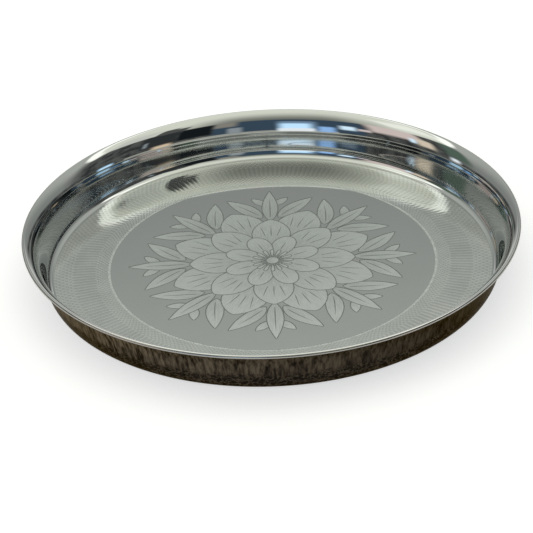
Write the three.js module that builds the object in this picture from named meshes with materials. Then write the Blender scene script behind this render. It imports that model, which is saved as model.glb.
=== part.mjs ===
// A round steel dinner plate with a steep side wall, pressed and spun from one sheet of stainless steel.
// The sheet keeps one gauge from the centre to the cut edge. It is modelled zone by zone, as it is formed:
// polished centre, engraved border, cove, side wall, flared lip and rolled edge. Each zone is a closed
// solid that ends square to the sheet, so that neighbours meet face to face.
// Millimetres, +Z up. The axis of the plate is the Z axis and the underside of the floor lies on Z = 0.
import * as THREE from 'three';

const { degToRad, lerp } = THREE.MathUtils;

// Driving dimensions
const RIM_DIAMETER = 280; // over the rolled edge
const HEIGHT = 28; // underside of the floor to the crest of the lip
const SHEET = 0.6; // gauge of the steel
const FLOOR_DIAMETER = 248.7; // flat of the floor, out to the corner
const MEDALLION_DIAMETER = 185; // polished centre, out to the engraved border
const CORNER_RADIUS = 4; // inside bend from the floor into the cove
const CORNER_SLOPE = degToRad(56); // slope of the sheet where the corner ends
const LIP_RADIUS = 2; // bend over the crest of the lip, on its upper face
const LIP_SLOPE = degToRad(32); // slope of the sheet where that bend starts
const CURL_RADIUS = 0.5; // inside bend of the rolled edge
const CURL_TURN = degToRad(210); // curl of the rolled edge, from the crest of the lip

// Between the corner and the lip the sheet runs in one sweep, steepest at mid height. The pulls say how far
// it keeps the slope of the corner and of the lip, as shares of the straight line between them.
const FOOT_PULL = 0.2;
const BROW_PULL = 0.42;
const COVE_SHARE = 0.12; // first part of the sweep, which belongs to the cove
const LIP_SHARE = 0.25; // last part of the sweep, which belongs to the lip

// Facets
const ROUND_SEGMENTS = 72; // around the plate
const CORNER_STEPS = 5;
const COVE_STEPS = 2;
const WALL_STEPS = 6;
const FLARE_STEPS = 5;
const LIP_STEPS = 3;
const CURL_STEPS = 9;

// A stretch of the sheet is a list of stations on its upper face, each with the slope of the sheet there:
// 0 on the level, positive where it climbs away from the axis.
const station = (x, y, slope) => ({ over: new THREE.Vector2(x, y), slope });
const along = (steps, from, to, stationAt) =>
  Array.from({ length: steps + 1 }, (_, i) => stationAt(lerp(from, to, i / steps)));

// The corner bends about a centre above the sheet, the lip and the curl about centres below it.
const floorRadius = FLOOR_DIAMETER / 2;
const crestRadius = RIM_DIAMETER / 2 - CURL_RADIUS - SHEET;
const cornerAt = (slope) =>
  station(
    floorRadius + CORNER_RADIUS * Math.sin(slope),
    SHEET + CORNER_RADIUS * (1 - Math.cos(slope)),
    slope,
  );
const crestBendAt = (radius) => (slope) =>
  station(crestRadius - radius * Math.sin(slope), HEIGHT - radius * (1 - Math.cos(slope)), slope);

// The sweep of the wall, tangent to the corner and to the lip
const foot = cornerAt(CORNER_SLOPE).over;
const brow = crestBendAt(LIP_RADIUS)(LIP_SLOPE).over;
const chord = foot.distanceTo(brow);
const onSlope = (slope, length) => new THREE.Vector2(Math.cos(slope), Math.sin(slope)).multiplyScalar(length);
const sweep = new THREE.CubicBezierCurve(
  foot,
  foot.clone().add(onSlope(CORNER_SLOPE, FOOT_PULL * chord)),
  brow.clone().sub(onSlope(LIP_SLOPE, BROW_PULL * chord)),
  brow,
);
const sweepAt = (share) => {
  const point = sweep.getPoint(share);
  return station(point.x, point.y, sweep.getTangent(share).angle());
};

const coveEnd = COVE_SHARE;
const lipStart = 1 - LIP_SHARE;
const floorZone = (fromRadius, toRadius) => [station(fromRadius, SHEET, 0), station(toRadius, SHEET, 0)];
const cove = [
  ...along(CORNER_STEPS, 0, CORNER_SLOPE, cornerAt),
  ...along(COVE_STEPS, 0, coveEnd, sweepAt).slice(1),
];
const wall = along(WALL_STEPS, coveEnd, lipStart, sweepAt);
const lip = [
  ...along(FLARE_STEPS, lipStart, 1, sweepAt),
  ...along(LIP_STEPS, LIP_SLOPE, 0, crestBendAt(LIP_RADIUS)).slice(1),
];
const curl = along(CURL_STEPS, 0, -CURL_TURN, crestBendAt(CURL_RADIUS + SHEET));

// One zone of the plate: its section goes out along the underside, back along the upper face, and is
// turned about the axis. A section that starts on the axis is closed by it.
const plate = new THREE.Group();

function addZone(name, stations, material) {
  const over = stations.map(({ over: point }) => point);
  const under = stations.map(({ over: point, slope }) =>
    new THREE.Vector2(point.x + SHEET * Math.sin(slope), point.y - SHEET * Math.cos(slope)));
  const outline = [...under, ...over.toReversed()];
  const startsOnAxis = outline[0].x === 0;
  if (!startsOnAxis) {
    outline.push(outline[0]);
  }
  const geometry = new THREE.LatheGeometry(outline, ROUND_SEGMENTS);
  geometry.rotateX(Math.PI / 2);
  const mesh = new THREE.Mesh(geometry, material);
  mesh.name = name;
  plate.add(mesh);
}

const steel = (color, roughness) => new THREE.MeshStandardMaterial({ color, roughness, metalness: 1 });

addZone('polished_centre', floorZone(0, MEDALLION_DIAMETER / 2), steel(0xa3a7a3, 0.12));
addZone('engraved_border', floorZone(MEDALLION_DIAMETER / 2, floorRadius), steel(0xb4b8b1, 0.3));
addZone('corner_cove', cove, steel(0xc2c4be, 0.06));
addZone('side_wall', wall, steel(0x9a9b98, 0.06));
addZone('flared_lip', lip, steel(0xc6c8bf, 0.06));
addZone('rolled_edge', curl, steel(0xcfcfca, 0.06));

export default plate;
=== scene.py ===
import math
import bpy
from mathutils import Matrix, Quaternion, Vector, geometry


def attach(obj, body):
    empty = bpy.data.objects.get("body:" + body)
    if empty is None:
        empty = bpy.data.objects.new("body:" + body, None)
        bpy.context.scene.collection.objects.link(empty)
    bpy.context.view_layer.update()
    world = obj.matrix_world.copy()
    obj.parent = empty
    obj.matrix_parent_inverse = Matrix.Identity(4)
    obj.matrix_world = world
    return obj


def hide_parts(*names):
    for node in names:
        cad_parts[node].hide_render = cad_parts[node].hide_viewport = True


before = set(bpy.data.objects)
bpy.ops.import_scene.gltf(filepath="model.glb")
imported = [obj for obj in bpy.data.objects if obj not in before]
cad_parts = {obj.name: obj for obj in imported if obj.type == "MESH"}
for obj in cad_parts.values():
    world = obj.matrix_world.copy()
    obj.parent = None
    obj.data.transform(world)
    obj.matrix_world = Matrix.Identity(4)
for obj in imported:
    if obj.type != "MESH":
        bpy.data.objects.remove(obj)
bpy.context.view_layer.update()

# The centre is the middle of the plate's one pressed sheet of stainless steel, polished like a mirror.
# A flower is etched into it: the acid takes a hair off the surface and leaves it frosted.
# Sizes are in millimetres until a mesh is made, and the grains of a finish are counted to the metre.
MM = 0.001
FULL_TURN = 2 * math.pi
SHEET = 0.6
CENTRE_RADIUS = 92.5
ROUND_STEPS = 236
CLEAR, FROST, LINE = range(3)
DEPTHS = (0.0, 0.03, 0.05)
DRAWING_MAP = "drawing"


class Signal:
    """One socket of a shader's nodes. Sums written on it add Math nodes."""

    def __init__(self, tree, socket=None):
        self.tree = tree
        self.socket = socket

    def make(self, kind, settings=None, sockets=None, out=0):
        node = self.tree.nodes.new(kind)
        for name, value in (settings or {}).items():
            setattr(node, name, value)
        for name, value in (sockets or {}).items():
            if isinstance(value, Signal):
                self.tree.links.new(value.socket, node.inputs[name])
            else:
                node.inputs[name].default_value = value
        return Signal(self.tree, node.outputs[out])

    def math(self, operation, *values):
        return self.make("ShaderNodeMath", {"operation": operation}, dict(enumerate(values)))

    def __add__(self, other):
        return self.math("ADD", self, other)

    def __sub__(self, other):
        return self.math("SUBTRACT", self, other)

    def __rsub__(self, other):
        return self.math("SUBTRACT", other, self)

    def __mul__(self, other):
        return self.math("MULTIPLY", self, other)

    __radd__ = __add__
    __rmul__ = __mul__

    def rise(self, low, high):
        """0 below low and 1 above high, with a soft step between them."""
        span = {"Value": self, "From Min": low, "From Max": high}
        return self.make("ShaderNodeMapRange", {"interpolation_type": "SMOOTHSTEP"}, span)

    def blend(self, first, second):
        """The first colour where this signal is 0, and the second where it is 1."""
        # A Mix node takes its two colours at sockets 6 and 7, and gives their blend at socket 2
        colours = {0: self, 6: first, 7: second}
        return self.make("ShaderNodeMix", {"data_type": "RGBA"}, colours, out=2)

    def axes(self, count=3):
        """The numbers of a place, each as a signal."""
        return [self.make("ShaderNodeSeparateXYZ", None, {"Vector": self}, axis) for axis in range(count)]

    def speckle(self, x, y, z, detail=2.0):
        """Noise over a place given by three numbers, from 0 to 1."""
        place = self.make("ShaderNodeCombineXYZ", None, {0: x, 1: y, 2: z})
        return self.make("ShaderNodeTexNoise", None, {"Vector": place, "Scale": 1.0, "Detail": detail})


def new_finish(name):
    """A metal to be finished: its nodes, and the place on the plate as x, y, z and radius."""
    finish = bpy.data.materials.new(name)
    finish.use_nodes = True
    tree = finish.node_tree
    nodes = Signal(tree)
    place = nodes.make("ShaderNodeTexCoord", out="Object")
    x, y, z = place.axes()
    radius = nodes.math("SQRT", x * x + y * y)
    return finish, nodes, (x, y, z, radius)


def coat_metal(finish, nodes, colour, roughness, relief, depth):
    """Joins colour, roughness and a relief, in metres, to the metal's shader."""
    metal = finish.node_tree.nodes["Principled BSDF"]
    metal.inputs["Metallic"].default_value = 1.0
    bump = nodes.make("ShaderNodeBump", None, {"Height": relief, "Distance": depth, "Strength": 1.0})
    for name, value in (("Base Color", colour), ("Roughness", roughness), ("Normal", bump)):
        finish.node_tree.links.new(value.socket, metal.inputs[name])
    return finish


POLISHED = (0.60, 0.61, 0.60, 1)
POLISHED_DULL = (0.54, 0.55, 0.54, 1)
MOP_RINGS = 4200
RING_SHARE = 0.4
HAZE_PATCHES = 45
SHEET_RIPPLES = 30


def grains(x, y, z, across, up, detail=2.0):
    """Noise with so many grains to the metre, level and up the plate."""
    return x.speckle(x * across, y * across, z * up, detail)


def polished_steel(name, gloss, haze, ripple, dull=POLISHED_DULL, bright=POLISHED):
    """Mirror steel: fine rings left by the buffing mop, faint haze, and the sheet's slow ripple."""
    finish, nodes, (x, y, z, radius) = new_finish(name)
    rings = nodes.speckle(radius * MOP_RINGS, z * MOP_RINGS, 0.0)
    cloud = grains(x, y, z, HAZE_PATCHES, HAZE_PATCHES, detail=3.0)
    swell = grains(x, y, z, SHEET_RIPPLES, SHEET_RIPPLES, detail=1.0)
    colour = (rings * RING_SHARE + cloud * (1 - RING_SHARE)).blend(dull, bright)
    roughness = gloss + haze * rings * cloud
    return coat_metal(finish, nodes, colour, roughness, swell, ripple * MM)


FROSTED = (0.86, 0.89, 0.86, 1)
FROSTED_DULL = (0.61, 0.635, 0.61, 1)
OUTLINE = (0.29, 0.30, 0.29, 1)
OUTLINE_DULL = (0.22, 0.23, 0.22, 1)
STROKES_ALONG = 5
STROKES_ACROSS = 2.2
STROKE_TONE = 1.3
STROKE_MATT = 0.06
TIP_FULL = 0.9
TIP_TONE = 0.35
DEEPEST_TONE = 0.32
ETCH_GRAINS = 5200
ETCH_GRAIN_DEPTH = 0.002 * MM
SHAPES_APART = 2.0


def frosted_steel(name, dull, bright, matt):
    """Etched steel: a fine even grain, with the strokes that shade a petal from its root to its tip."""
    finish, nodes, (x, y, z, radius) = new_finish(name)
    along, across = nodes.make("ShaderNodeUVMap", {"uv_map": DRAWING_MAP}).axes(2)
    strokes = nodes.speckle(along * STROKES_ALONG, across * STROKES_ACROSS, 0.0)
    grain = grains(x, y, z, ETCH_GRAINS, ETCH_GRAINS, detail=1.0)
    tip = nodes.math("MODULO", along, SHAPES_APART).rise(0.0, TIP_FULL)
    tone = (strokes * STROKE_TONE + tip * TIP_TONE - DEEPEST_TONE).rise(0.0, 1.0)
    return coat_metal(finish, nodes, tone.blend(dull, bright), matt + STROKE_MATT * strokes,
                      grain, ETCH_GRAIN_DEPTH)


# The back is satin steel, but its dark brown colours and the brown tint of its edges are painted reflection.
PAINTED_REFLECTION_BROWN = (0.150, 0.120, 0.085, 1)
PAINTED_REFLECTION_DARK = (0.010, 0.008, 0.006, 1)
PAINTED_REFLECTION_TINT = (0.52, 0.48, 0.42, 1)
SATIN_MATT = 0.30
STREAKS, STREAK_RUN, STREAK_SHARE = 560, 40, 0.50
STREAK_DEPTH = 0.010 * MM
HAIRS, HAIR_RUN, HAIR_SHARE = 1400, 80, 0.25
HAIR_MATT = 0.14
SHADES, SHADE_RUN, SHADE_SHARE = 75, 60, 0.25
MARKS_LOW, MARKS_HIGH = 0.36, 0.66
# A ragged painted shadow darkens the foot of the outer wall, laced with lines of painted reflection.
LACE_GRAINS, LACE_RUN = 330, 520
LACE_MIDDLE = 0.5
LACE_WIDTH = 0.06
PAINTED_LACE_TONE = 0.42
PAINTED_SHADOW_LOW, PAINTED_SHADOW_HIGH = 7.5 * MM, 12.0 * MM
PAINTED_SHADOW_RAGGED = 6 * MM
PAINTED_SHADOW_FADE = 30
PAINTED_SHADOW_DEPTH = 0.90
LEAST_TONE = 0.36
# Painted reflection lightens the back towards the left side, and more at the far left.
PAINTED_REFLECTION_SIDE_REACH, PAINTED_REFLECTION_SIDE_TONE = 120 * MM, 0.62
PAINTED_REFLECTION_LEFT_START, PAINTED_REFLECTION_LEFT_FULL, PAINTED_REFLECTION_LEFT_TONE = -50 * MM, -100 * MM, 0.60


def satin_steel_painted_reflection(name):
    """The sheet's unpolished back: soft drawn streaks up the wall over painted reflection, and a painted
    shadow with a lace of painted reflection at the foot.
    """
    finish, nodes, (x, y, z, radius) = new_finish(name)
    streaks = grains(x, y, z, STREAKS, STREAK_RUN, detail=3.0)
    hairs = grains(x, y, z, HAIRS, HAIR_RUN)
    shade = grains(x, y, z, SHADES, SHADE_RUN)
    # The painted shadow at the foot, with its ragged edge and its lace of painted reflection, on the outer
    # wall only.
    lace_grains = grains(x, y, z, LACE_GRAINS, LACE_RUN, detail=3.0)
    lace = nodes.math("ABSOLUTE", lace_grains - LACE_MIDDLE).rise(LACE_WIDTH, 0.0)
    ragged = z + PAINTED_SHADOW_RAGGED * (lace_grains - LACE_MIDDLE)
    outer = radius.rise(CENTRE_RADIUS * MM, (CENTRE_RADIUS + PAINTED_SHADOW_FADE) * MM)
    foot = ragged.rise(PAINTED_SHADOW_HIGH, PAINTED_SHADOW_LOW) * outer
    # Painted reflection: lighter towards the left side, and lighter still at the far left.
    painted_reflection_side = x.rise(PAINTED_REFLECTION_SIDE_REACH, -PAINTED_REFLECTION_SIDE_REACH)
    bright = x.rise(PAINTED_REFLECTION_LEFT_START, PAINTED_REFLECTION_LEFT_FULL)
    marks = (streaks * STREAK_SHARE + hairs * HAIR_SHARE + shade * SHADE_SHARE).rise(MARKS_LOW, MARKS_HIGH)
    tone = marks * (LEAST_TONE + PAINTED_REFLECTION_SIDE_TONE * painted_reflection_side + PAINTED_REFLECTION_LEFT_TONE * bright)
    # The painted shadow darkens the foot, and the lace of painted reflection lightens it again in lines.
    tone = tone * (1 - PAINTED_SHADOW_DEPTH * foot) + PAINTED_LACE_TONE * foot * lace
    # The brown tint of the edges is painted reflection.
    metal = finish.node_tree.nodes["Principled BSDF"]
    metal.inputs["Specular Tint"].default_value = PAINTED_REFLECTION_TINT
    return coat_metal(finish, nodes, tone.blend(PAINTED_REFLECTION_DARK, PAINTED_REFLECTION_BROWN), SATIN_MATT + HAIR_MATT * hairs,
                      streaks, STREAK_DEPTH)


def around(radius, turn):
    return Vector((radius * math.cos(turn), radius * math.sin(turn)))


def circle(radius):
    return [around(radius, FULL_TURN * step / ROUND_STEPS) for step in range(ROUND_STEPS)]


KEEP_INSIDE = 1
MERGE_GAP = 1e-6


def cut_sheet(loops):
    """Cuts a flat sheet along closed loops. Each face tells which loop was drawn last over it."""
    corners = []
    rows = []
    for loop in loops:
        rows.append(list(range(len(corners), len(corners) + len(loop))))
        corners.extend(loop)
    corners, _, faces, _, _, drawn = geometry.delaunay_2d_cdt(corners, [], rows, KEEP_INSIDE, MERGE_GAP)
    return corners, faces, [max(owners) for owners in drawn]


def etched_solid(name, corners, faces, drawn, strokes, back_faces):
    """A flat sheet with its drawn faces sunk to their depths, closed by its sides and its back."""
    places = []
    known = {}

    def at(corner, height):
        key = (corner, height)
        if key not in known:
            known[key] = len(places)
            places.append((corners[corner].x * MM, corners[corner].y * MM, height * MM))
        return known[key]

    heights = [SHEET - DEPTHS[kind] for kind in drawn]
    beside = {}
    for face, height in zip(faces, heights):
        for start, end in zip(face, face[1:] + face[:1]):
            beside[start, end] = height
    polygons = [[at(corner, height) for corner in face] for face, height in zip(faces, heights)]
    finishes = list(drawn)
    back = len(DEPTHS)
    for (start, end), height in beside.items():
        other = beside.get((end, start), 0.0)
        if height > other:
            polygons.append([at(start, height), at(start, other), at(end, other), at(end, height)])
            finishes.append(back if other == 0.0 else FROST)
    for face in back_faces:
        polygons.append([at(corner, 0.0) for corner in reversed(face)])
        finishes.append(back)
    mesh = bpy.data.meshes.new(name)
    mesh.from_pydata(places, [], polygons)
    mesh.polygons.foreach_set("material_index", finishes)
    layer = mesh.uv_layers.new(name=DRAWING_MAP)
    for polygon, stroke in zip(mesh.polygons, strokes):
        for corner, loop in zip(polygon.vertices, polygon.loop_indices):
            layer.uv[loop].vector = stroke(places[corner][0] / MM, places[corner][1] / MM)
    piece = bpy.data.objects.new(name, mesh)
    bpy.context.scene.collection.objects.link(piece)
    return piece


def dress(piece, node, slot, *finishes):
    """Gives a piece its metals, and puts it in the place of its CAD node."""
    for finish in finishes:
        piece.data.materials.append(finish)
    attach(piece, "root")
    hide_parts(node)


PETAL_STEPS = 14
LINE_WIDTH = 0.6
VEIN_BASE, VEIN_TIP = 0.4, 0.8


def petal(start, turn, length, width, base, tip, lean, bend):
    """A leaf shape that starts on a radius of the plate and points outwards, or leans from it."""
    root = around(start, turn)
    heading = around(1.0, turn + lean)
    side = Vector((-heading.y, heading.x))
    widest = base / (base + tip)
    most = widest ** base * (1 - widest) ** tip
    right = []
    left = []
    for step in range(PETAL_STEPS + 1):
        part = 0.5 - 0.5 * math.cos(math.pi * step / PETAL_STEPS)
        spine = root + heading * (length * part) + side * (bend * part * part)
        half = width / 2 * part ** base * (1 - part) ** tip / most
        right.append(spine - side * half)
        left.append(spine + side * half)
    return right + left[-2:0:-1], (root, heading / length)


def grown(loop, gap):
    """The loop pushed outwards by a gap."""
    pushed = []
    for before, here, after in zip(loop[-1:] + loop[:-1], loop, loop[1:] + loop[:1]):
        run = (after - before).normalized()
        pushed.append(here + Vector((run.y, -run.x)) * gap)
    return pushed


drawing = []


def etch(start, turn, length, width, base, tip, lean=0.0, bend=0.0):
    """Draws a frosted petal with a line round it."""
    loop, axis = petal(start, turn, length, width, base, tip, lean, bend)
    drawing.append((grown(loop, LINE_WIDTH), LINE, axis))
    drawing.append((loop, FROST, axis))


def vein(start, turn, length, width, lean=0.0, bend=0.0):
    """Draws a fine line in a frosted petal."""
    loop, axis = petal(start, turn, length, width, VEIN_BASE, VEIN_TIP, lean, bend)
    drawing.append((loop, LINE, axis))


SPRAYS = 8
SPRAY_TURN = FULL_TURN / SPRAYS
for spray in range(SPRAYS):
    turn = spray * SPRAY_TURN
    for side in (-1, 1):
        etch(start=50, turn=turn + side * 0.10, length=30, width=9.5, base=0.75, tip=1.0,
             lean=side * 0.55, bend=side * 3)
        vein(start=53, turn=turn + side * 0.125, length=20, width=0.55, lean=side * 0.58, bend=side * 1.6)
        etch(start=64, turn=turn + side * 0.025, length=13, width=5.2, base=0.8, tip=0.9, lean=side * 0.75)
    etch(start=46, turn=turn, length=36, width=9.0, base=0.8, tip=1.1)
    vein(start=50, turn=turn, length=24, width=0.6)
for spray in range(SPRAYS):
    turn = (spray + 0.5) * SPRAY_TURN
    etch(start=24, turn=turn, length=36, width=26, base=0.7, tip=0.75)
    for side in (-1, 0, 1):
        vein(start=40, turn=turn + side * 0.10, length=13, width=0.5, lean=side * 0.12)
for spray in range(SPRAYS):
    turn = spray * SPRAY_TURN
    etch(start=15, turn=turn, length=32, width=22, base=0.65, tip=0.7)
    for side in (-1, 0, 1):
        vein(start=28, turn=turn + side * 0.12, length=12, width=0.5, lean=side * 0.14)
for spray in range(SPRAYS):
    turn = (spray + 0.5) * SPRAY_TURN
    etch(start=6, turn=turn, length=22, width=13, base=0.6, tip=0.5)
    vein(start=13, turn=turn, length=9, width=0.5)
for stamen in range(2 * SPRAYS):
    etch(start=4.2, turn=stamen * SPRAY_TURN / 2, length=7.5, width=1.6, base=1.2, tip=0.4)
etch(start=-3.4, turn=0.0, length=6.8, width=6.8, base=0.5, tip=0.5)

corners, faces, owners = cut_sheet([circle(CENTRE_RADIUS)] + [loop for loop, _, _ in drawing])
rim_corners = list(range(ROUND_STEPS))
drawn = [drawing[owner - 1][1] if owner else CLEAR for owner in owners]


def stroke_place(owner):
    """Tells the share along the shape that was drawn last over a spot, and the way across it."""
    root, heading = drawing[owner - 1][2] if owner else (Vector((0, 0)), Vector((1, 0)))
    side = Vector((-heading.y, heading.x)).normalized()

    def place(x, y):
        apart = Vector((x, y)) - root
        return apart.dot(heading) + SHAPES_APART * owner, apart.dot(side)
    return place


centre = etched_solid("polished_centre", corners, faces, drawn,
                      [stroke_place(owner) for owner in owners], [rim_corners])
etched_metal = frosted_steel("etched_steel", FROSTED_DULL, FROSTED, matt=0.06)
line_metal = frosted_steel("etched_line", OUTLINE_DULL, OUTLINE, matt=0.24)
# The satin back carries painted reflection, and a painted shadow at its foot.
back_metal = satin_steel_painted_reflection("satin_back_painted_reflection")
dress(centre, "polished_centre", "etched_centre",
      polished_steel("mirror_centre", gloss=0.03, haze=0.04, ripple=0.004),
      etched_metal, line_metal, back_metal)

# The border is the outer ring of the same floor, engraved with fine radial lines inside a frosted ring.
# Towards both rims the lines part to left and right, and their crossings leave rows of small lozenges.
BORDER_RADIUS = 124.35
RING_LINE = 93.8
LINES = ROUND_STEPS
PITCH = FULL_TURN / LINES
CLEAR_HALF = 0.24 * PITCH
TAPER = (0.0, 0.3, 0.6, 0.85, 0.97)
LOZENGE_TIP = 0.46
ROW_MARGIN = 0.02
# Where the straight lines end, where the last row ends, the count of rows, and how fast they narrow
INSIDE = (102.0, RING_LINE, 6.1, 0.74)
OUTSIDE = (113.5, 123.8, 5.05, 1.0)


def row_radius(row, straight, limit, rows, ease):
    """The radius of a row of lozenges, counted from the end of the straight lines."""
    return straight + (limit - straight) * (row / rows) ** ease


islands = []
for line in range(LINES):
    middle = line * PITCH
    ends = []
    for band in (INSIDE, OUTSIDE):
        ends.append([(row_radius(part / 2, *band), CLEAR_HALF * (1 - part)) for part in TAPER])
    strip = ends[0][::-1] + ends[1]
    islands.append([around(radius, middle - half) for radius, half in strip]
                   + [around(radius, middle + half) for radius, half in reversed(strip)])
    for band in (INSIDE, OUTSIDE):
        rows = band[2]
        for row in range(1, int(rows) + 1):
            lozenge = middle + PITCH / 2 * (row % 2)
            top = min(row + LOZENGE_TIP, rows - ROW_MARGIN)
            low, mid, high = sorted(row_radius(place, *band) for place in (row - LOZENGE_TIP, row, top))
            islands.append([around(low, lozenge), around(mid, lozenge - CLEAR_HALF),
                            around(high, lozenge), around(mid, lozenge + CLEAR_HALF)])

corners, faces, owners = cut_sheet(
    [circle(BORDER_RADIUS)] + islands + [circle(RING_LINE), circle(CENTRE_RADIUS)])
ring = len(islands) + 1
hole = len(islands) + 2
kept = [index for index, owner in enumerate(owners) if owner != hole]
kinds = {0: LINE, ring: FROST}
inner = len(corners) - ROUND_STEPS
back_faces = [[step, (step + 1) % ROUND_STEPS, inner + (step + 1) % ROUND_STEPS, inner + step]
              for step in range(ROUND_STEPS)]


def row_at(radius):
    """The row of lozenges at a radius, 0 on the straight lines."""
    for straight, limit, rows, ease in (INSIDE, OUTSIDE):
        share = (radius - straight) / (limit - straight)
        if share > 0:
            return rows * min(share, 1.0) ** (1 / ease)
    return 0.0


def line_place(face):
    """Tells the row of lozenges at a spot on a face, and the line, counted round the plate."""
    middle = sum((corners[corner] for corner in face), Vector((0, 0)))
    turn = math.atan2(middle.y, middle.x)

    def place(x, y):
        spot = Vector((x, y))
        return row_at(spot.length), (turn + math.atan2(middle.cross(spot), middle.dot(spot))) / PITCH
    return place


GROOVE_DEPTH = 0.009 * MM
GROOVE = (0.73, 0.745, 0.72, 1)
GROOVE_DULL = (0.67, 0.685, 0.66, 1)
RIDGE = (0.635, 0.65, 0.63, 1)
RIDGE_DULL = (0.58, 0.595, 0.576, 1)
STAINS = 60
STAIN_LOW, STAIN_HIGH = 0.3, 0.7
STAIN_MATT = 0.03


def grooved_steel(name, dull, bright, matt):
    """Engraved steel: shallow waves from line to line, which throw the light a little to both sides."""
    finish, nodes, (x, y, z, radius) = new_finish(name)
    row, line = nodes.make("ShaderNodeUVMap", {"uv_map": DRAWING_MAP}).axes(2)
    groove = nodes.math("COSINE", line * FULL_TURN) * nodes.math("COSINE", row * math.pi)
    stains = nodes.speckle(x * STAINS, y * STAINS, 0.0)
    colour = stains.rise(STAIN_LOW, STAIN_HIGH).blend(dull, bright)
    return coat_metal(finish, nodes, colour, matt + STAIN_MATT * stains, groove, GROOVE_DEPTH)


border = etched_solid("engraved_border", corners, [faces[index] for index in kept],
                      [kinds.get(owners[index], CLEAR) for index in kept],
                      [line_place(faces[index]) for index in kept], back_faces)
dress(border, "engraved_border", "engraved_steel",
      grooved_steel("mirror_border", RIDGE_DULL, RIDGE, matt=0.03),
      frosted_steel("etched_ring", FROSTED_DULL, FROSTED, matt=0.26),
      grooved_steel("engraved_line", GROOVE_DULL, GROOVE, matt=0.08), back_metal)

# The cove is the corner where the pressed floor turns up, and the foot of the wall above it.
# It is part of the same sheet, buffed bright inside and left satin outside. The pulls say how far the
# sweep of the wall keeps the slope of the corner and of the lip, as shares of the way between them.
CORNER_RADIUS = 4.0
CORNER_SLOPE = math.radians(56)
RIM_RADIUS = 140.0
HEIGHT = 28.0
LIP_RADIUS = 2.0
LIP_SLOPE = math.radians(32)
CURL_RADIUS = 0.5
FOOT_PULL = 0.19
BROW_PULL = 0.386
COVE_END = 0.12
LIP_START = 0.75
CORNER_STEPS = 18
SWEEP_STEPS = 8
crest_radius = RIM_RADIUS - CURL_RADIUS - SHEET


def corner_at(slope):
    """A place on the corner's upper face, as radius, height and slope of the sheet."""
    return (BORDER_RADIUS + CORNER_RADIUS * math.sin(slope),
            SHEET + CORNER_RADIUS * (1 - math.cos(slope)), slope)


def crest_bend_at(radius):
    """The same on a bend that reaches the crest of the plate."""
    def place(slope):
        return crest_radius - radius * math.sin(slope), HEIGHT - radius * (1 - math.cos(slope)), slope
    return place


foot = Vector(corner_at(CORNER_SLOPE)[:2])
brow = Vector(crest_bend_at(LIP_RADIUS)(LIP_SLOPE)[:2])
chord = (brow - foot).length
sweep = (foot, foot + around(FOOT_PULL * chord, CORNER_SLOPE),
         brow - around(BROW_PULL * chord, LIP_SLOPE), brow)


def sweep_at(share):
    """The same on the one sweep from the corner to the lip, steepest at mid height."""
    points = sweep
    while len(points) > 2:
        points = [start.lerp(end, share) for start, end in zip(points, points[1:])]
    run = points[1] - points[0]
    place = points[0].lerp(points[1], share)
    return place.x, place.y, math.atan2(run.y, run.x)


def stretch(steps, start, end, place_at):
    return [place_at(start + (end - start) * step / steps) for step in range(steps + 1)]


def spun_zone(name, over, changes=None):
    """Spins one stretch of the sheet round the plate's axis, as a closed ring with true round normals.

    Its finish changes after the given steps, or where its upper face ends.
    """
    changes = changes or (len(over) - 1,)
    profile = [(r, z, -math.sin(s), math.cos(s)) for r, z, s in over]
    profile += [(r + SHEET * math.sin(s), z - SHEET * math.cos(s), math.sin(s), -math.cos(s))
                for r, z, s in reversed(over)]
    count = len(profile)
    turns = [around(1.0, FULL_TURN * step / ROUND_STEPS) for step in range(ROUND_STEPS)]
    places = [(r * turn.x * MM, r * turn.y * MM, z * MM) for r, z, _, _ in profile for turn in turns]
    polygons = []
    normals = []
    finishes = []
    for ring in range(count):
        after = (ring + 1) % count
        cap = ring in (len(over) - 1, count - 1)
        run = (profile[after][0] - profile[ring][0], profile[after][1] - profile[ring][1])
        flat = (-run[1] / math.hypot(*run), run[0] / math.hypot(*run))
        for step in range(ROUND_STEPS):
            following = (step + 1) % ROUND_STEPS
            corner = ((ring, step), (after, step), (after, following), (ring, following))
            polygons.append([level * ROUND_STEPS + place for level, place in corner])
            finishes.append(sum(ring >= change for change in changes))
            for level, place in corner:
                out, up = flat if cap else profile[level][2:]
                normals.append((out * turns[place].x, out * turns[place].y, up))
    mesh = bpy.data.meshes.new(name)
    mesh.from_pydata(places, [], polygons)
    mesh.polygons.foreach_set("material_index", finishes)
    mesh.polygons.foreach_set("use_smooth", [True] * len(polygons))
    mesh.normals_split_custom_set(normals)
    piece = bpy.data.objects.new(name, mesh)
    bpy.context.scene.collection.objects.link(piece)
    return piece


cove = spun_zone("corner_cove", stretch(CORNER_STEPS, 0.0, CORNER_SLOPE, corner_at)
                 + stretch(SWEEP_STEPS, 0.0, COVE_END, sweep_at)[1:])
mirror_wall = polished_steel("mirror_wall", gloss=0.02, haze=0.02, ripple=0.006)
dress(cove, "corner_cove", "mirror_steel", mirror_wall, back_metal)

# The side wall is the steep middle of the sweep from the corner to the lip.
# It is drawn from the same sheet, mirror bright inside, with the draw marks left on its back.
WALL_STEPS = 40
wall = spun_zone("side_wall", stretch(WALL_STEPS, COVE_END, LIP_START, sweep_at))
dress(wall, "side_wall", "mirror_steel", mirror_wall, back_metal)

# The lip turns the wall outwards to a level crest, so that the plate can be held by its edge.
# It is rolled over a round die and polished on top.
LIP_STEPS = 10
FLARE_STEPS = 22
lip = spun_zone("flared_lip", stretch(FLARE_STEPS, LIP_START, 1.0, sweep_at)
                + stretch(LIP_STEPS, LIP_SLOPE, 0.0, crest_bend_at(LIP_RADIUS))[1:])
dress(lip, "flared_lip", "mirror_steel", mirror_wall, back_metal)

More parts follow.
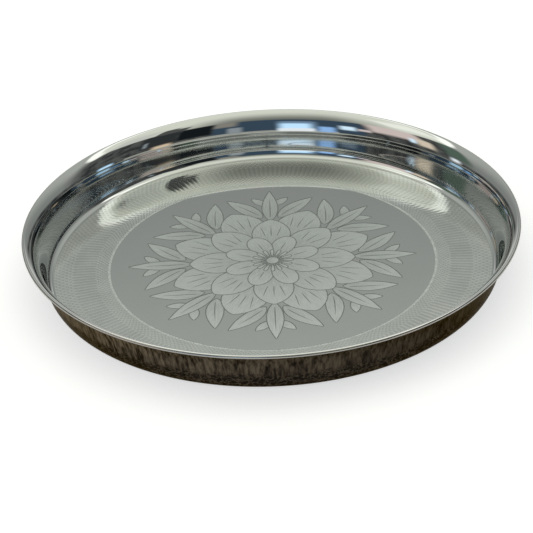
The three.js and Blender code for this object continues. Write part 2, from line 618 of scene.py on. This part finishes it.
# The edge of the sheet is curled under in a small bead, so that no sharp rim is left.
# It is curled on the same lathe as the lip, and the mop that buffs the lip reaches over its top.
CURL_TURN = math.radians(210)
CURL_STEPS = 28
BUFFED_STEPS = 4
BRUSHED_STEPS = 14
BRUSHED = (0.38, 0.37, 0.35, 1)
BRUSHED_DULL = (0.29, 0.28, 0.26, 1)
BUFFED = (0.72, 0.72, 0.71, 1)
BUFFED_DULL = (0.66, 0.66, 0.65, 1)
edge = spun_zone("rolled_edge", stretch(CURL_STEPS, 0.0, -CURL_TURN, crest_bend_at(CURL_RADIUS + SHEET)),
                 (BUFFED_STEPS, BRUSHED_STEPS))
brushed_edge = polished_steel("brushed_edge", gloss=0.14, haze=0.08, ripple=0.006,
                              dull=BRUSHED_DULL, bright=BRUSHED)
buffed_edge = polished_steel("buffed_edge", gloss=0.03, haze=0.02, ripple=0.006,
                             dull=BUFFED_DULL, bright=BUFFED)
dress(edge, "rolled_edge", "mirror_steel", buffed_edge, brushed_edge, back_metal)

# The studio floor is a wide sheet of matt white paper, which glows white to the camera and in reflections so
# that it shows white.
# It lies a hair under the plate and keeps its soft shadow. Its sizes are in metres.
FLOOR_HALF = 8.0
FLOOR_DROP = 0.0002
FLOOR_PALE = (0.62, 0.62, 0.617, 1)
FLOOR_SHADE = (0.60, 0.60, 0.597, 1)
PAPER_FLECKS = 8
PAPER_MATT = 0.9
PAPER_SHEEN = 0.1
NO_GLOW = (0, 0, 0, 1)
GLOW = (0.62, 0.62, 0.625, 1)
floor_mesh = bpy.data.meshes.new("studio_floor")
floor_mesh.from_pydata([(x * FLOOR_HALF, y * FLOOR_HALF, -FLOOR_DROP)
                        for x, y in ((-1, -1), (1, -1), (1, 1), (-1, 1))], [], [[0, 1, 2, 3]])
floor = bpy.data.objects.new("studio_floor", floor_mesh)
bpy.context.scene.collection.objects.link(floor)
paper, nodes, (x, y, z, radius) = new_finish("white_paper")
sheet = paper.node_tree.nodes["Principled BSDF"]
sheet.inputs["Roughness"].default_value = PAPER_MATT
sheet.inputs["Specular IOR Level"].default_value = PAPER_SHEEN
sheet.inputs["Emission Strength"].default_value = 1.0
tint = nodes.speckle(x * PAPER_FLECKS, y * PAPER_FLECKS, 0.0).blend(FLOOR_SHADE, FLOOR_PALE)
seen, mirrored, looked_through = (nodes.make("ShaderNodeLightPath", out="Is %s Ray" % kind)
                                  for kind in ("Camera", "Glossy", "Transmission"))
glow = (seen + mirrored + looked_through).blend(NO_GLOW, GLOW)
paper.node_tree.links.new(tint.socket, sheet.inputs["Base Color"])
paper.node_tree.links.new(glow.socket, sheet.inputs["Emission Color"])
floor_mesh.materials.append(paper)

# The light is a room with a white ceiling, a grey backdrop behind the plate and windows behind the camera.
# The polished wall mirrors all of it. Headings are in degrees to the right of the camera, and heights in
# degrees above the floor.
CEILING = (1.07, 1.10, 0.97, 1)
CEILING_FRONT = (0.25, 0.26, 0.23, 1)
CEILING_LAMP = (1.38, 1.41, 1.29, 1)
CORNICE = (1.75, 1.77, 1.66, 1)
GREY_CEILING = (0.88, 0.90, 0.83, 1)
HORIZON = (0.76, 0.77, 0.74, 1)
BACKDROP_HIGH = (0.59, 0.61, 0.57, 1)
BACKDROP_LOW = (0.32, 0.335, 0.32, 1)
BEHIND_HIGH = (0.58, 0.605, 0.565, 1)
BEHIND_LOW = (0.32, 0.335, 0.325, 1)
DIM_ROOM = (0.14, 0.145, 0.14, 1)
DARK_ROOM = (0.045, 0.05, 0.05, 1)
SHADOW = (0.012, 0.016, 0.019, 1)
GLOOM = (0.045, 0.05, 0.052, 1)
PLANT = (0.12, 0.125, 0.12, 1)
DARK_GREEN = (0.13, 0.19, 0.15, 1)
DARK_BLUE = (0.06, 0.10, 0.15, 1)
BLUE_HAZE = (0.26, 0.40, 0.58, 1)
COOL_SKY = (0.92, 1.36, 1.78, 1)
COOL_PANE = (0.45, 0.78, 1.35, 1)
PALE_PANE = (0.40, 0.46, 0.50, 1)
BRIGHT_SKY = (1.30, 1.37, 1.46, 1)
SMALL_PANE = (1.12, 1.42, 1.68, 1)
PINK_WALL = (0.98, 0.82, 0.78, 1)
PINK_PANE = (0.98, 0.84, 0.84, 1)
DIM_SHELF = (0.36, 0.34, 0.30, 1)
SILL = (0.58, 0.57, 0.52, 1)
WARM_LAMP = (1.10, 0.86, 0.62, 1)
WARM_SHELF = (1.05, 0.90, 0.72, 1)
CLUTTER_ACROSS, CLUTTER_UP = 0.16, 0.12
CLUTTER_RANGE = (0.34, 0.66)
CEILING_EDGE = 38
CEILING_SOFT = (-2.5, 1.5)
BEAM_CLIMB = 4
BACK_CLIMB = 17
BEHIND_DROP = 6
FRONT_HEADING = -10
CORNICE_HEADING = -3
# Headings or heights between which a part of the room sets in or, where the first is higher, fades out
BACKDROP_SIDES, BACKDROP_FOOT, BACKDROP_FADE = (98, 118), (5, 10), (12, 40)
BEHIND_SIDES, BEHIND_FADE = (160, 170), (25, 37)
HORIZON_SIDES, HORIZON_TOP = (158, 170), (26, 22)
OVERHEAD = (36, 82)
FRONT_SIDES = (76, 20)
BEAM_LEFT, BEAM_RIGHT = (56, 66), (102, 95)
BACK_SIDES, DROP_SIDES = (104, 140), (145, 175)
CORNICE_SIDES, CORNICE_TOP = (102, 108), (10, 6)
room = bpy.data.worlds.new("studio_room")
bpy.context.scene.world = room
room.use_nodes = True
air = Signal(room.node_tree)
rightward, backward, upward = air.make("ShaderNodeTexCoord", out="Generated").axes()
heading = air.math("DEGREES", air.math("ARCTAN2", rightward, backward * -1))
height = air.math("DEGREES", air.math("ARCSINE", upward))


def hang(scenery, colour, left, right, low, high, soft=2.5):
    """Hangs a soft-edged panel in the room, in front of the scenery."""
    wide = heading.rise(left - soft, left + soft) * heading.rise(right + soft, right - soft)
    tall = height.rise(low - soft, low + soft) * height.rise(high + soft, high - soft)
    return (wide * tall).blend(scenery, colour)


sideways = air.math("ABSOLUTE", heading)
backdrop = height.rise(*BACKDROP_FADE).blend(BACKDROP_LOW, BACKDROP_HIGH)
behind = height.rise(*BEHIND_FADE).blend(BEHIND_LOW, BEHIND_HIGH)
backdrop = sideways.rise(*BEHIND_SIDES).blend(backdrop, behind)
clutter = air.speckle(heading * CLUTTER_ACROSS, height * CLUTTER_UP, 0.0, detail=3.0)
dim_walls = clutter.rise(*CLUTTER_RANGE).blend(DARK_ROOM, DIM_ROOM)
walls = (sideways.rise(*BACKDROP_SIDES) * height.rise(*BACKDROP_FOOT)).blend(dim_walls, backdrop)
walls = (sideways.rise(*HORIZON_SIDES) * height.rise(*HORIZON_TOP)).blend(walls, HORIZON)
walls = hang(walls, DARK_BLUE, left=-50, right=27, low=3, high=42)
walls = hang(walls, SILL, left=-36, right=74, low=2.5, high=4.5, soft=1)
walls = hang(walls, BLUE_HAZE, left=-25, right=-6, low=4, high=30, soft=3)
walls = hang(walls, COOL_SKY, left=-22, right=-7, low=4, high=22, soft=3)
walls = hang(walls, BRIGHT_SKY, left=-24, right=-6, low=0, high=8.5, soft=2)
walls = hang(walls, COOL_PANE, left=-34, right=-26, low=2, high=14.5)
walls = hang(walls, SMALL_PANE, left=-45, right=-37, low=11, high=21.5)
walls = hang(walls, PALE_PANE, left=12, right=19, low=4, high=17, soft=2)
walls = hang(walls, DIM_SHELF, left=15, right=27, low=22, high=44, soft=3)
walls = hang(walls, PINK_WALL, left=-83, right=-53, low=16, high=42, soft=4)
walls = hang(walls, PINK_PANE, left=-53, right=-46, low=12.5, high=18, soft=1.5)
walls = hang(walls, WARM_SHELF, left=-89, right=-79, low=10, high=26, soft=3)
walls = hang(walls, SMALL_PANE, left=-78, right=-74.5, low=12, high=22, soft=2)
walls = hang(walls, DARK_GREEN, left=-114, right=-97, low=12, high=36, soft=4)
walls = hang(walls, SHADOW, left=27, right=45, low=8, high=36, soft=2)
walls = hang(walls, GLOOM, left=45, right=66, low=9, high=42, soft=2)
walls = hang(walls, WARM_LAMP, left=48, right=58, low=3, high=8)
walls = hang(walls, PALE_PANE, left=61.5, right=63.5, low=12, high=24, soft=1.5)
walls = hang(walls, COOL_SKY, left=81, right=90, low=2, high=6, soft=2)
walls = hang(walls, BRIGHT_SKY, left=-105, right=-99, low=4, high=10)
overhead = height.rise(*OVERHEAD)
front = air.math("ABSOLUTE", heading - FRONT_HEADING).rise(*FRONT_SIDES)
ceiling = (front * (1 - overhead)).blend(CEILING, CEILING_FRONT)
turned = air.math("ABSOLUTE", heading - CORNICE_HEADING)
beam = heading.rise(*BEAM_LEFT) * heading.rise(*BEAM_RIGHT)
above = height - CEILING_EDGE - BEAM_CLIMB * beam
above = above - BACK_CLIMB * turned.rise(*BACK_SIDES) + BEHIND_DROP * turned.rise(*DROP_SIDES)
ceiling = hang(ceiling, GREY_CEILING, left=66, right=97, low=40, high=56, soft=5)
ceiling = hang(ceiling, CEILING_LAMP, left=-112, right=-74, low=45, high=60, soft=5)
ceiling = (turned.rise(*CORNICE_SIDES) * above.rise(*CORNICE_TOP)).blend(ceiling, CORNICE)
ceiling = hang(ceiling, PLANT, left=43, right=54, low=36, high=48, soft=2)
ceiling = hang(ceiling, PLANT, left=52, right=63, low=36, high=52, soft=2)
ceiling = hang(ceiling, DIM_ROOM, left=90, right=95, low=36, high=42, soft=1.5)
colour = above.rise(*CEILING_SOFT).blend(walls, ceiling)
room.node_tree.links.new(colour.socket, room.node_tree.nodes["Background"].inputs["Color"])
room.node_tree.nodes["Background"].inputs["Strength"].default_value = 1.0

# The camera looks down on the plate at the photograph's angle, with a slight roll. Its place, in metres,
# and its lens lay the circles of the rim, the border and the base where the photograph has them.
EYE = Vector((0.0, -0.9078, 0.5394))
AIM = Vector((-0.003585, -0.001479, -0.002489))
ROLL = math.radians(-2.927)
SENSOR_WIDTH = 36.0
FOCAL_LENGTH = 124.95
lens = bpy.data.cameras.new("plate_camera")
lens.sensor_width = SENSOR_WIDTH
lens.lens = FOCAL_LENGTH
camera = bpy.data.objects.new("plate_camera", lens)
camera.location = EYE
camera.rotation_mode = "QUATERNION"
camera.rotation_quaternion = (AIM - EYE).to_track_quat("-Z", "Y") @ Quaternion((0, 0, 1), ROLL)
bpy.context.scene.collection.objects.link(camera)
bpy.context.scene.camera = camera
bpy.context.scene.view_settings.view_transform = "Standard"
